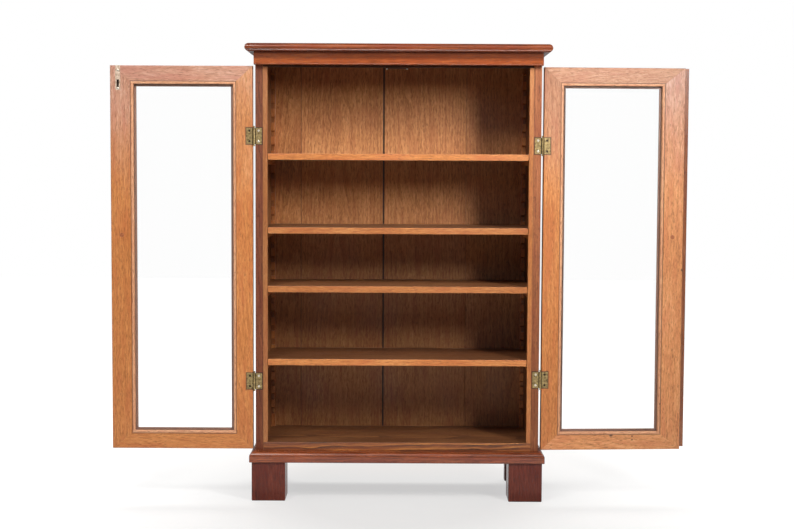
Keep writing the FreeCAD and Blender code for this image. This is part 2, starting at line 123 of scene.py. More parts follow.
# Studio: a soft box close on the right, one high on the left, a weak one overhead, and the glow of a white
# floor in front and of the white sweep behind. Three wide panels show only as a shine in the polish.
softBoxes = {
    "key": {"place": (1.42, -1.95, 2.0), "aim": (-0.25, 0.0, 0.9), "size": (0.46, 1.05), "watts": 15.4,
            "spread": 85},
    "over": {"place": (-1.25, -1.35, 3.1), "aim": (-0.3, 0.0, 0.6), "size": (1.8, 1.2), "watts": 11.3},
    "highLeft": {"place": (-1.15, -2.3, 2.9), "aim": (0.0, 0.0, 0.9), "size": (0.9, 0.6), "watts": 46.5},
    "floorGlow": {"place": (0.0, -0.85, 0.01), "aim": (0.0, -0.85, 1.0), "size": (2.8, 1.2), "watts": 5.5},
    "sweepGlow": {"place": (0.0, 1.7, 2.3), "aim": (0.0, 0.5, 0.0), "size": (4.4, 0.8), "watts": 95.0,
                  "mirrored": False},
    "sheen": {"place": (0.0, -4.2, 2.9), "aim": (0.0, 0.0, 1.3), "size": (5.0, 1.6), "watts": 35.0,
              "polishOnly": True},
    "topGloss": {"place": (0.0, -1.6, 3.0), "aim": (0.0, -0.18, 1.4), "size": (3.0, 0.5), "watts": 32.0,
                 "polishOnly": True},
    "lowGloss": {"place": (0.0, -0.75, 0.05), "aim": (0.0, -0.17, 1.38), "size": (3.2, 0.6), "watts": 3.4,
                 "spread": 24, "polishOnly": True},
}
studio = {
    "roomLight": 0.004,  # what the pale room gives to every surface
    "frontGloss": 0.28, "backGloss": 0.12, "glossTurn": (-0.2, 0.4),  # the dim room as polish mirrors it
    "floorColour": "#8F8E8C", "floorRough": (0.6, 0.8), "scuffMm": 350.0, "floorReach": 9.0,
    # The floor is whiter away from the case, and sooner so along X
    "floorNear": 0.57, "shadowReach": (0.5, 2.4), "shadowDrawnIn": 1.6,
}


def softBox(name, b):
    lamp = bpy.data.lights.new(name, "AREA")
    lamp.shape = "RECTANGLE"
    lamp.size, lamp.size_y = b["size"]
    lamp.energy = b["watts"]
    lamp.spread = math.radians(b.get("spread", 180))
    box = bpy.data.objects.new(name, lamp)
    aimed = (Vector(b["aim"]) - Vector(b["place"])).to_track_quat("-Z", "Y")
    box.matrix_world = Matrix.Translation(b["place"]) @ aimed.to_matrix().to_4x4()
    box.visible_camera = False
    box.visible_diffuse = not b.get("polishOnly", False)
    box.visible_glossy = b.get("mirrored", True)  # the sweep's glow is too even to see in the polish
    scene.collection.objects.link(box)


def setRoom(s):
    room = bpy.data.worlds.new("paleRoom")
    room.use_nodes = True
    tree = room.node_tree
    tree.nodes.clear()
    path = addNode(tree, "ShaderNodeLightPath").outputs
    coords = addNode(tree, "ShaderNodeTexCoord")
    aside = addNode(tree, "ShaderNodeSeparateXYZ", {0: coords.outputs["Generated"]})
    mirrored = addNode(tree, "ShaderNodeMapRange", {
        "Value": aside.outputs["Y"], **span(*s["glossTurn"], s["frontGloss"], s["backGloss"])})
    glossy = addNode(tree, "ShaderNodeMix", {0: path["Is Glossy Ray"], 2: s["roomLight"], 3: mirrored})
    through = addNode(tree, "ShaderNodeMath", {0: path["Is Camera Ray"], 1: path["Is Transmission Ray"]},
                      operation="MAXIMUM")
    level = addNode(tree, "ShaderNodeMix", {0: through, 2: glossy, 3: 1.0})
    white = addNode(tree, "ShaderNodeBackground", {"Color": pureWhite, "Strength": level})
    addNode(tree, "ShaderNodeOutputWorld", {"Surface": white})
    scene.world = room


# White painted floor that runs out into the sweep: seen rays find it white away from the case, its glow
# dimmed near the case as painted shade, and darker again in the real shadow
def setFloor(s):
    floorPaint = newMaterial("white_painted_studio_floor")
    tree = floorPaint.node_tree
    path = addNode(tree, "ShaderNodeLightPath").outputs
    place = addNode(tree, "ShaderNodeTexCoord").outputs["Object"]
    scuff = addNode(tree, "ShaderNodeTexNoise", {
        "Vector": place, "Scale": 1 / (s["scuffMm"] * mm), "Detail": 4.0})
    shade = addNode(tree, "ShaderNodeMapRange", {"Value": scuff, **span(*noiseMiddle, *s["floorRough"])})
    paint = addNode(tree, "ShaderNodeBsdfPrincipled", {
        "Base Color": toLinear(s["floorColour"]), "Roughness": shade})
    drawnIn = addNode(tree, "ShaderNodeMapping", {"Vector": place, "Scale": (s["shadowDrawnIn"], 1.0, 1.0)})
    away = addNode(tree, "ShaderNodeVectorMath", {0: drawnIn}, operation="LENGTH")
    white = addNode(tree, "ShaderNodeMapRange", {
        "Value": away.outputs["Value"], **span(*s["shadowReach"], s["floorNear"], 1.0)})
    through = addNode(tree, "ShaderNodeMath", {0: path["Is Camera Ray"], 1: path["Is Transmission Ray"]},
                      operation="MAXIMUM")
    seen = addNode(tree, "ShaderNodeMath", {0: through, 1: path["Is Glossy Ray"]}, operation="MAXIMUM")
    lift = addNode(tree, "ShaderNodeMath", {0: seen, 1: white}, operation="MULTIPLY")
    glow = addNode(tree, "ShaderNodeEmission", {"Color": pureWhite, "Strength": lift})
    total = addNode(tree, "ShaderNodeAddShader", {0: paint, 1: glow})
    addNode(tree, "ShaderNodeOutputMaterial", {"Surface": total})

    reach = s["floorReach"]
    corners = [(-reach, -reach, 0), (reach, -reach, 0), (reach, reach, 0), (-reach, reach, 0)]
    mesh = bpy.data.meshes.new("studioFloor")
    mesh.from_pydata(corners, [], [(0, 1, 2, 3)])
    mesh.materials.append(floorPaint)
    floor = bpy.data.objects.new("studioFloor", mesh)
    scene.collection.objects.link(floor)


for name, b in softBoxes.items():
    softBox(name, b)
setRoom(studio)
setFloor(studio)
scene.view_settings.view_transform = "Standard"
print("studio set")

# Oak, quarter to plain sawn, hand polished: dark open pores in dashes, arched year rings, soft satin shine.
# Real rings are 2 to 4 mm and pores 0.3 mm, finer than a pixel here, so both are drawn coarser to show.
honeyOak = {  # inside of the doors and front edges: oak under clear polish, gone golden
    "light": "#DB9556", "mid": "#C87C3F", "dark": "#A8622C", "pore": "#85491E", "blush": "#BC6433",
    "worn": "#E2A873", "wornShare": 0.25, "rough": 0.42, "shine": 0.5, "contrast": 0.9, "pores": 0.6,
    "dash": 24.0, "figure": 0.16,
}
shelfOak = {  # tops and undersides of the shelves: never polished, brown with handling
    "light": "#8F5E36", "mid": "#774A2B", "dark": "#57351F", "pore": "#3D2415", "blush": "#6E3C24",
    "worn": "#A87A4C", "wornShare": 0.2, "rough": 0.55, "shine": 0.3, "contrast": 0.9, "pores": 0.5,
    "dash": 60.0, "figure": 0.3,
}
backOak = {  # thin back boards: barely polished, the grain drawn strongly
    "light": "#DA9A60", "mid": "#C38048", "dark": "#9C5E31", "pore": "#774322", "blush": "#AE6437",
    "worn": "#D0A069", "wornShare": 0.15, "rough": 0.52, "shine": 0.45, "contrast": 1.1, "pores": 0.6,
    "dash": 20.0, "figure": 0.22,
}
stainedOak = {  # outside: red-brown stain under rubbed shellac, a sharp shine, paler on the edges
    "light": "#884A2C", "mid": "#6E3A20", "dark": "#4A2314", "pore": "#32160C", "blush": "#6C2E1A",
    "worn": "#B0714A", "wornShare": 0.45, "rough": 0.25, "shine": 0.5, "contrast": 0.9, "pores": 0.5,
    "dash": 150.0, "figure": 0.16,
}


def toned(base, light, mid, dark, blush, **more):  # the same oak in other colours
    return {**base, "light": light, "mid": mid, "dark": dark, "blush": blush, **more}


redStain = toned(stainedOak, "#A45630", "#874120", "#582813", "#823219",
                 pore="#3A190B", rough=0.17, shine=0.42, contrast=1.25)
topStain = toned(redStain, "#9A502C", "#7E3C1E", "#532612", "#823219", shine=0.24)
warmStain = toned(stainedOak, "#B96A38", "#A04F28", "#783A1B", "#954322",
                  pore="#562911", shine=0.22, dash=36.0, contrast=0.75)
rubbedStain = toned(stainedOak, "#BD7649", "#9F5C35", "#713D23", "#8C4528", pore="#452412")
footStain = toned(stainedOak, "#7F3C2C", "#6B2F21", "#4A1F16", "#5E2118",
                  pore="#2E120C", shine=0.2, dash=40.0)
# Header rail and door stop: near black, painted shade where they lie in shadow
shadowStain = toned(stainedOak, "#4A2A1B", "#382013", "#22130B", "#341A10",
                  pore="#150B06", rough=0.6, shine=0.1)
handledOak = toned(shelfOak, "#A26B3E", "#865531", "#633D24", "#7E462A")  # one paler shelf and a side
# Glazing beads: paler than the frame, partly their own tone and partly a painted highlight on the rounding
beadOak = toned(honeyOak, "#E6B084", "#DA9B72", "#BC7B54", "#CD8860")
paintedLitOak = toned(honeyOak, "#EDAC76", "#D99059", "#B87445", "#CE794C")  # two members of the right door, painted paler as painted light
plugOak = toned(honeyOak, "#BE7446", "#A85E38", "#8A4628", "#A04C2E")  # end grain of a knob's tenon
shadedHoneyOak = toned(honeyOak, "#C8864C", "#B46E36", "#955525", "#A85A2D")  # darker copy for two shelf edges and two racks: painted shade
shadedRackOak = toned(honeyOak, "#B27946", "#A26433", "#884F24", "#985129")  # the darkest copy, for one rack: painted shade
streakyOak = toned(honeyOak, "#BE7A3C", "#864A24", "#432312", "#7A3C1E", contrast=1.7, dash=70.0, figure=0.5)
# Upper ends of the doors' members, painted pale and pinkish as a painted sheen of the lamps on the polish;
# the right door's hinge stile is also painted darker, as shade
paintedSheenOak = {
    "left": toned(honeyOak, "#D9B19D", "#C8947A", "#A8755B", "#BB7866", pore="#855A3B"),
    "right": toned(honeyOak, "#CB9B78", "#BA815E", "#9C6642", "#AF684A", pore="#7C4E2E"),
}
paintedSheenHinge = {
    "left": toned(honeyOak, "#DCA981", "#CB8D5E", "#AB7042", "#BE7250", pore="#855A3B"),
    "right": toned(honeyOak, "#BE9172", "#AE7859", "#925F3E", "#A36145", pore="#74492B"),
}
paintedSheenEnd = {"from": 1.12, "to": 1.45, "mottled": 0.3}  # heights, and how far the mottle shifts them
# Dark brown for grime, and for painted shade in joints, recesses and shadowed bands
shadeAndGrime = toLinear("#2A120A")
knotBrown = toLinear("#3B1F14")
# Grey on the lip behind each pane: a painted reflection of the glass
lipGlassReflection = toLinear("#93705F")
grainSizes = {  # millimetres
    "streakWide": 3.4,
    "poreWide": 2.2, "poreLong": 14.0,
    "fleckWide": 2.6, "fleckLong": 9.0,
    "mottleWide": 90.0, "mottleLong": 260.0,
    "blushWide": 18.0, "blushLong": 120.0,
    "wanderWide": 55.0, "wanderLong": 150.0, "wander": 16.0,
    "wearPatch": 45.0, "edge": 2.2, "relief": 0.35,
}
noiseSpans = {  # where each noise begins and ends to count, and its share then
    "streak": noiseMiddle, "mottle": noiseMiddle,
    "fleck": (0.62, 0.74, 0.0, 0.35), "blush": (0.45, 0.68, 0.0, 0.55),
}
ringShape = {"Distortion": 3.5, "Detail": 3.0, "Detail Scale": 0.45, "Detail Roughness": 0.62}
ringPull = 0.10  # the rings' own waves are drawn out ten times along the grain
toneStops = {"dark": 0.12, "mid": 0.5, "light": 0.88}
toneShares = {"grain": 0.72, "mottle": 0.28}  # rings and streaks share the grain's part
# Pores crowd into the first wood of a ring
poreCrowd = {"until": 0.6, "extra": 0.06, "from": 0.57, "to": 0.70}
edgeWear = {"lean": (0.995, 0.80), "patch": (0.40, 0.62)}
oakFinish = {
    "ior": 1.5, "bump": 0.35, "poreHeight": -0.8, "poreDull": 0.22, "smoother": 0.07, "rougher": 0.08,
}
stainEdge = {"from": 1.2 * mm, "to": 2.8 * mm, "ragged": 1.6 * mm}
# Painted shade, dirt and the lip's painted reflection: how deep they lie behind a face, or how far off a
# line, and their shares at the two ends
faceDeep = (2 * mm, 3 * mm)
lipDeep = (18 * mm, 20 * mm)
lipWithin = (-0.5 * mm, -1.5 * mm)
beadLine = (0.5 * mm, 1.8 * mm, 0.6, 0.0)
leafLine = (1.4 * mm, 3.6 * mm, 0.85, 0.0)
notchDeep = 4 * mm
markEdge = {"uneven": 0.8, "from": 1.35, "to": 0.75, "share": 0.85}  # in radii of the mark
grainTurns = {
    "z": Euler((0.0, 0.0, 0.0)), "x": Euler((0.0, -math.pi / 2, 0.0)), "y": Euler((math.pi / 2, 0.0, 0.0)),
}
maxTilt = 0.035  # how far the grain may run out of a board, in radians
seedRun = 9.0    # each board is cut from its own place along a log this long, in metres


def boardFrame(nodeName, grain, pith, seed):  # turn and shift that lay a board's grain along its own Z
    rng = random.Random(seed)
    tilt = Euler((rng.uniform(-maxTilt, maxTilt), rng.uniform(-maxTilt, maxTilt), 0.0)).to_matrix()
    turn = tilt @ grainTurns[grain].to_matrix()
    low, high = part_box(nodeName)
    shift = Vector((pith[0] * mm, pith[1] * mm, rng.uniform(0.0, seedRun))) - turn @ ((low + high) / 2)
    return {"Rotation": turn.to_euler("XYZ"), "Location": shift}


def oakLayers(tree, along, look, ringMm):
    noises = {}
    for kind in ("streak", "pore", "fleck", "mottle", "blush", "wander"):
        wide = grainSizes[kind + "Wide"] * mm
        long = (look["dash"] if kind == "streak" else grainSizes[kind + "Long"]) * mm
        spread = addNode(tree, "ShaderNodeMapping", {
            "Vector": along, "Scale": (1 / wide, 1 / wide, 1 / long)})
        noises[kind] = addNode(tree, "ShaderNodeTexNoise", {
            "Vector": spread, "Scale": 1.0, "Detail": 2.5, "Distortion": 0.5 if kind == "streak" else 0.0})
    counted = {}
    for kind, limits in noiseSpans.items():
        counted[kind] = addNode(tree, "ShaderNodeMapRange", {"Value": noises[kind], **span(*limits)})

    # Year rings round a pith that wanders along the grain, so that flat faces show arches and waves
    wander = grainSizes["wander"] * mm
    pulled = addNode(tree, "ShaderNodeMapping", {"Vector": along, "Scale": (1.0, 1.0, ringPull)})
    bent = addNode(tree, "ShaderNodeVectorMath", {
        0: noises["wander"].outputs["Color"], 1: (wander, wander, 0.0), 2: pulled}, operation="MULTIPLY_ADD")
    wave = addNode(tree, "ShaderNodeTexWave", {
        "Vector": bent, "Scale": math.pi / (10 * ringMm * mm), **ringShape},
        wave_type="RINGS", rings_direction="Z", wave_profile="SAW")
    rings = wave.outputs["Fac"]

    contrast = look["contrast"]
    tone = counted["fleck"]
    shares = ((rings, look["figure"]), (counted["streak"], toneShares["grain"] - look["figure"]),
              (counted["mottle"], toneShares["mottle"]))
    for layer, share in shares:
        tone = addNode(tree, "ShaderNodeMath", {0: layer, 1: share * contrast, 2: tone},
                       operation="MULTIPLY_ADD")
    tone = addNode(tree, "ShaderNodeMath", {0: tone, 1: 0.5 - 0.5 * contrast}, operation="ADD")
    p = poreCrowd
    crowd = addNode(tree, "ShaderNodeMapRange", {"Value": rings, **span(0.0, p["until"], p["extra"], 0.0)})
    raised = addNode(tree, "ShaderNodeMath", {0: noises["pore"], 1: crowd}, operation="ADD")
    pores = addNode(tree, "ShaderNodeMapRange", {
        "Value": raised, **span(p["from"], p["to"], 0.0, look["pores"])})
    return {"tone": tone, "pores": pores, "blush": counted["blush"], "rings": rings,
            "mottle": noises["mottle"], "speckle": noises["pore"]}


def oakColour(tree, look, layers):
    ramp = addNode(tree, "ShaderNodeValToRGB", {"Fac": layers["tone"]})
    stops = ramp.color_ramp.elements
    stops[0].position, stops[0].color = toneStops["dark"], toLinear(look["dark"])
    stops[1].position, stops[1].color = toneStops["light"], toLinear(look["light"])
    stops.new(toneStops["mid"]).color = toLinear(look["mid"])
    warmed = addNode(tree, "ShaderNodeMix", {0: layers["blush"], 6: ramp, 7: toLinear(look["blush"])},
                     data_type="RGBA")
    inked = addNode(tree, "ShaderNodeMix", {
        0: layers["pores"], 6: warmed.outputs[2], 7: toLinear(look["pore"])}, data_type="RGBA")
    return inked.outputs[2]


def depthAlong(tree, place, face):
    depth = addNode(tree, "ShaderNodeVectorMath", {0: place, 1: face["normal"]}, operation="DOT_PRODUCT")
    return depth.outputs["Value"]


def nearFace(tree, place, face, share):  # the share at a face and just behind it, nought deeper in the board
    depth = depthAlong(tree, place, face)
    near = addNode(tree, "ShaderNodeMapRange", {
        "Value": depth, **span(*(face["at"] + deep for deep in faceDeep), 1.0, 0.0)})
    return addNode(tree, "ShaderNodeMath", {0: near, 1: share}, operation="MULTIPLY")


def pastRim(tree, sides):  # distance past the rim of a rectangle, from places and half sizes on its two axes
    gaps = []
    for value, half in sides:
        size = addNode(tree, "ShaderNodeMath", {0: value}, operation="ABSOLUTE")
        gaps.append(addNode(tree, "ShaderNodeMath", {0: size, 1: half}, operation="SUBTRACT"))
    return addNode(tree, "ShaderNodeMath", {0: gaps[0], 1: gaps[1]}, operation="MAXIMUM")


def paneCovers(tree, place, pane, faced):  # dark line where the glazing bead meets the frame: painted shade of the groove, with dirt
    ahead = addNode(tree, "ShaderNodeMapping", {
        "Vector": place, "Location": pane["centre"], "Rotation": (0.0, 0.0, pane["turn"])},
        vector_type="TEXTURE")
    part = addNode(tree, "ShaderNodeSeparateXYZ", {0: ahead}).outputs
    rim = pastRim(tree, ((part["X"], pane["half"][0]), (part["Z"], pane["half"][1])))
    off = addNode(tree, "ShaderNodeMath", {0: rim}, operation="ABSOLUTE")
    line = addNode(tree, "ShaderNodeMapRange", {"Value": off, **span(*beadLine)})
    if not faced:
        return [(line, shadeAndGrime)]
    # The lip behind the pane was never stained; its grey is a painted reflection of the glass
    within = addNode(tree, "ShaderNodeMapRange", {"Value": rim, **span(*lipWithin)})
    shallow = addNode(tree, "ShaderNodeMapRange", {
        "Value": depthAlong(tree, place, faced),
        **span(*(faced["at"] + deep for deep in lipDeep), 1.0, 0.0)})
    lip = addNode(tree, "ShaderNodeMath", {0: within, 1: shallow}, operation="MULTIPLY")
    return [(lip, lipGlassReflection), (line, shadeAndGrime)]


def leafCovers(tree, place, part, leaf):  # dark line round the recess of each hinge leaf: painted shade, with dirt
    covers = []
    for middle in leaf["heights"]:
        offX = addNode(tree, "ShaderNodeMath", {0: part["X"], 1: leaf["x"]}, operation="SUBTRACT")
        offZ = addNode(tree, "ShaderNodeMath", {0: part["Z"], 1: middle}, operation="SUBTRACT")
        rim = pastRim(tree, ((offX, leaf["half"][0]), (offZ, leaf["half"][1])))
        line = addNode(tree, "ShaderNodeMapRange", {"Value": rim, **span(*leafLine)})
        covers.append((nearFace(tree, place, leaf, line), shadeAndGrime))
    return covers


# Dirt and painted shade in the notches, beyond a distance from the middle of the case, but none on the front
def notchCover(tree, place, part, notched):
    off = addNode(tree, "ShaderNodeMath", {0: part["X"]}, operation="ABSOLUTE")
    deep = addNode(tree, "ShaderNodeMapRange", {
        "Value": off, **span(notched["x"], notched["x"] + notchDeep, 0.0, notched["share"])})
    front = nearFace(tree, place, notched, deep)
    return addNode(tree, "ShaderNodeMath", {0: deep, 1: front}, operation="SUBTRACT"), shadeAndGrime


def seamCover(tree, part, middle, half, share):  # dirt and painted shade in the joint between two boards, at a place along X
    within = addNode(tree, "ShaderNodeMath", {0: part["X"], 1: middle, 2: half}, operation="COMPARE")
    return addNode(tree, "ShaderNodeMath", {0: within, 1: share}, operation="MULTIPLY"), shadeAndGrime


def markCover(tree, place, speckle, at, size):  # a knot, nail hole or chip at a known spot
    away = addNode(tree, "ShaderNodeVectorMath", {0: place, 1: Vector(at)}, operation="DISTANCE")
    m = markEdge
    uneven = addNode(tree, "ShaderNodeMath", {
        0: speckle, 1: size * m["uneven"] * mm, 2: away.outputs["Value"]}, operation="MULTIPLY_ADD")
    spot = addNode(tree, "ShaderNodeMapRange", {
        "Value": uneven, **span(size * m["from"] * mm, size * m["to"] * mm, 0.0, m["share"])})
    return spot, knotBrown


def oak(nodeName, look, grain, pith, seed, ringMm=9.0, faced=None, crossGrain=None, marks=(), pane=None,
        seams=(), paintedSheen=None, darkenedBand=None, leaf=None, notched=None):
    material = newMaterial("polished_oak_" + nodeName)
    tree = material.node_tree
    place = addNode(tree, "ShaderNodeTexCoord").outputs["Object"]
    part = addNode(tree, "ShaderNodeSeparateXYZ", {0: place}).outputs

    laid = addNode(tree, "ShaderNodeMapping", {"Vector": place, **boardFrame(nodeName, grain, pith, seed)})
    along = laid.outputs[0]
    if crossGrain:  # strips of one node that run across: grain along X above and below the pane
        across = addNode(tree, "ShaderNodeMapping", {
            "Vector": place, **boardFrame(nodeName, "x", pith, seed + 1)})
        beside = addNode(tree, "ShaderNodeMath", {
            0: part["Z"], 1: crossGrain["middle"], 2: crossGrain["half"]}, operation="COMPARE")
        chosen = addNode(tree, "ShaderNodeMix", {0: beside, 4: across, 5: along}, data_type="VECTOR")
        along = chosen.outputs[1]
    layers = oakLayers(tree, along, look, ringMm)

    covers = []  # what lies over the oak, in order: its share and its colour
    # Upper ends painted paler and pinker: a painted sheen
    if paintedSheen:
        uneven = addNode(tree, "ShaderNodeMath", {0: layers["mottle"], 1: paintedSheenEnd["mottled"], 2: part["Z"]},
                         operation="MULTIPLY_ADD")
        upper = addNode(tree, "ShaderNodeMapRange", {"Value": uneven, **span(paintedSheenEnd["from"], paintedSheenEnd["to"])})
        covers.append((upper, oakColour(tree, paintedSheen, layers)))
    if faced:  # the look on one face, and another on the rest
        depth = depthAlong(tree, place, faced)
        ragged = addNode(tree, "ShaderNodeMath", {0: layers["mottle"], 1: stainEdge["ragged"], 2: depth},
                         operation="MULTIPLY_ADD")
        rest = addNode(tree, "ShaderNodeMapRange", {
            "Value": ragged, **span(faced["at"] + stainEdge["from"], faced["at"] + stainEdge["to"])})
        covers.append((rest, oakColour(tree, faced["look"], layers)))

    # Edges: rounded by handling, paler where the polish is rubbed through
    soft = addNode(tree, "ShaderNodeBevel", {"Radius": grainSizes["edge"] * mm}, samples=4)
    shape = addNode(tree, "ShaderNodeNewGeometry")
    lean = addNode(tree, "ShaderNodeVectorMath", {0: soft, 1: shape.outputs["Normal"]},
                   operation="DOT_PRODUCT")
    edge = addNode(tree, "ShaderNodeMapRange", {
        "Value": lean.outputs["Value"], **span(*edgeWear["lean"], 0.0, look["wornShare"])})
    patch = addNode(tree, "ShaderNodeTexNoise", {
        "Vector": place, "Scale": 1 / (grainSizes["wearPatch"] * mm), "Detail": 3.0})
    thin = addNode(tree, "ShaderNodeMapRange", {"Value": patch, **span(*edgeWear["patch"])})
    worn = addNode(tree, "ShaderNodeMath", {0: edge, 1: thin}, operation="MULTIPLY")
    covers.append((worn, toLinear(look["worn"])))

    if darkenedBand:  # darker by degrees between two heights: painted shadow on the frieze, painted shade on the back boards, the right side's edge darker low down
        darkening = addNode(tree, "ShaderNodeMapRange", {
            "Value": part["Z"], **span(darkenedBand["from"], darkenedBand["to"], 0.0, darkenedBand["share"])})
        covers.append((nearFace(tree, place, darkenedBand, darkening), shadeAndGrime))
    if pane:
        covers += paneCovers(tree, place, pane, faced)
    if notched:
        covers.append(notchCover(tree, place, part, notched))
    if leaf:
        covers += leafCovers(tree, place, part, leaf)
    covers += [seamCover(tree, part, *seam) for seam in seams]
    covers += [markCover(tree, place, layers["speckle"], *mark) for mark in marks]
    colour = oakColour(tree, look, layers)
    for share, cover in covers:
        colour = addNode(tree, "ShaderNodeMix", {0: share, 6: colour, 7: cover}, data_type="RGBA").outputs[2]

    f = oakFinish
    relief = addNode(tree, "ShaderNodeMath", {0: layers["pores"], 1: f["poreHeight"], 2: layers["rings"]},
                     operation="MULTIPLY_ADD")
    bump = addNode(tree, "ShaderNodeBump", {
        "Strength": f["bump"], "Distance": grainSizes["relief"] * mm, "Height": relief, "Normal": soft})
    gloss = addNode(tree, "ShaderNodeMapRange", {
        "Value": layers["mottle"],
        **span(*noiseMiddle, look["rough"] - f["smoother"], look["rough"] + f["rougher"])})
    dulled = addNode(tree, "ShaderNodeMath", {0: layers["pores"], 1: f["poreDull"], 2: gloss},
                     operation="MULTIPLY_ADD")
    wood = addNode(tree, "ShaderNodeBsdfPrincipled", {
        "Base Color": colour, "Roughness": dulled, "IOR": f["ior"], "Specular IOR Level": look["shine"],
        "Normal": bump})
    addNode(tree, "ShaderNodeOutputMaterial", {"Surface": wood})
    dress(nodeName, material)


# Places that several pieces share, in metres
inward = (0.0, 1.0, 0.0)  # from the front of the case to its back
frontPlane = -0.1335      # the sides' front edges, and the inside of the left door as it stands open
insideX = 0.416           # the sides' faces inside the case, either way from the middle
notchX = 0.4045           # bottoms of the racks' notches lie beyond this
sideLeafX = 0.430         # hinge leaves lie flush in the sides' edges and in the doors
doorLeafX = 0.458
hingeHeights = {"left": (1.1285, 0.3695), "right": (1.102, 0.377)}
leafHalf = (0.010, 0.025)

# Carcass boards: look, grain, pith offset across and into the board in mm, seed, ring width in mm
carcassBoards = {
    "top_board": (topStain, "x", (85, 30), 11, 10.0),
    "frieze": (warmStain, "x", (30, 70), 12, 8.0),
    # header rail: near-black stain, painted shade
    "header_rail": (shadowStain, "x", (40, 60), 13, 8.0),
    "base_front": (redStain, "x", (20, 75), 14, 7.0),
    "base_left": (redStain, "y", (60, 30), 15, 7.0),
    "base_right": (redStain, "y", (60, 24), 16, 7.0),
    "base_rear": (stainedOak, "x", (24, 66), 17, 8.0),
    "front_left_foot": (footStain, "z", (40, 90), 18, 8.0),
    "front_right_foot": (footStain, "z", (-30, 84), 19, 8.0),
    "rear_left_foot": (footStain, "z", (52, 70), 20, 8.0),
    "rear_right_foot": (footStain, "z", (-44, 78), 21, 8.0),
    # door stop: near-black stain, painted shade
    "door_stop": (shadowStain, "x", (20, 40), 22, 6.0),
    # racks but the rear right one take darker copies of the honey oak: painted shade
    "front_left_rack": (shadedRackOak, "z", (60, 90), 41, 6.0),
    "front_right_rack": (shadedHoneyOak, "z", (70, 84), 42, 6.0),
    "rear_left_rack": (shadedHoneyOak, "z", (64, 70), 43, 6.0),
    "rear_right_rack": (honeyOak, "z", (58, 92), 44, 6.0),
    "left_cleats": (honeyOak, "y", (40, 60), 45, 6.0),
    "right_cleats": (honeyOak, "y", (44, 52), 46, 6.0),
}
# The frieze's upper part is painted darker: the shadow of the top's overhang
friezePaintedShadow = {"from": 1.358, "to": 1.369, "share": 0.62}
rackNotches = {"x": notchX, "share": 0.4}
for nodeName, (look, grain, pith, seed, ringMm) in carcassBoards.items():
    front = {"normal": inward, "at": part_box(nodeName)[0].y}
    shade = {**friezePaintedShadow, **front} if nodeName == "frieze" else None
    notches = {**rackNotches, **front} if "rack" in nodeName else None
    oak(nodeName, look, grain, pith, seed, ringMm, darkenedBand=shade, notched=notches)

# Back boards: the joint left of the middle has opened, and dirt and painted shade sit in all three joints.
# The boards are painted darker low down, as shade in the lower bays
backBoards = {
    "back_board_1": ((-30, 60), 31), "back_board_2": ((10, 70), 32), "back_board_3": ((45, 66), 33),
    "back_board_4": ((-80, 75), 34),
}
backSeams = [(-0.319, 1.2 * mm, 0.6), (-0.048, 2.9 * mm, 0.97), (0.223, 0.6 * mm, 0.4)]
for nodeName, (pith, seed) in backBoards.items():
    lowBaysPaintedShade = {"from": 0.88, "to": 0.72, "share": 0.3, "normal": inward, "at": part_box(nodeName)[0].y}
    oak(nodeName, backOak, "z", pith, seed, seams=backSeams, darkenedBand=lowBaysPaintedShade)

# Sides: brown inside the case, stained outside and on the front edge. The right one's edge is rubbed, and
# darker low down
sides = {
    "left": {"pith": (80, 60), "seed": 23, "out": -1.0, "inner": handledOak, "outer": stainedOak,
             "shade": None},
    "right": {"pith": (-84, 50), "seed": 24, "out": 1.0, "inner": shelfOak, "outer": rubbedStain,
              "shade": {"from": 1.05, "to": 0.25, "share": 0.36, "normal": inward, "at": frontPlane}},
}
for side, s in sides.items():
    outside = {"normal": (s["out"], 0.0, 0.0), "at": insideX, "look": s["outer"]}
    leaf = {"x": s["out"] * sideLeafX, "heights": hingeHeights[side], "half": leafHalf, "normal": inward,
            "at": frontPlane}
    oak(side + "_side", s["inner"], "z", s["pith"], s["seed"], faced=outside, darkenedBand=s["shade"], leaf=leaf)

# Shelves and bottom board: a front edge planed and polished, the faces left brown
frontEdges = {
    "shelf_1": ((75, 30), 51, honeyOak, shelfOak),
    # shelves 2 and 3: front edges in a darker copy of the honey oak, painted shade
    "shelf_2": ((82, -50), 52, shadedHoneyOak, handledOak),
    "shelf_3": ((70, 60), 53, shadedHoneyOak, shelfOak),
    "shelf_4": ((88, -20), 54, honeyOak, shelfOak),
    "bottom_board": ((78, 36), 25, streakyOak, shelfOak),
}
for nodeName, (pith, seed, look, faces) in frontEdges.items():
    front = {"normal": inward, "at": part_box(nodeName)[0].y, "look": faces}
    oak(nodeName, look, "x", pith, seed, faced=front)
print("carcass oak done")

# Doors: members clear on the inside face, stained on edges and outside. The right one stands a little past
# straight out
pastStraight = math.radians(3.5)
rightPlane = -0.1603  # inside of the right door, along its own normal
beadWide = 9 * mm
doors = {
    "left": {"normal": inward, "at": frontPlane, "turn": 0.0, "seed": 60, "leafX": -doorLeafX},
    "right": {"normal": (-math.sin(pastStraight), math.cos(pastStraight), 0.0), "at": rightPlane,
              "turn": pastStraight, "seed": 80, "leafX": doorLeafX},
}
doorMembers = {
    "hinge_stile": ("z", (60, 110)),
    "free_stile": ("z", (-70, 100)),
    "top_rail": ("x", (60, 105)),
    "bottom_rail": ("x", (-66, 112)),
}
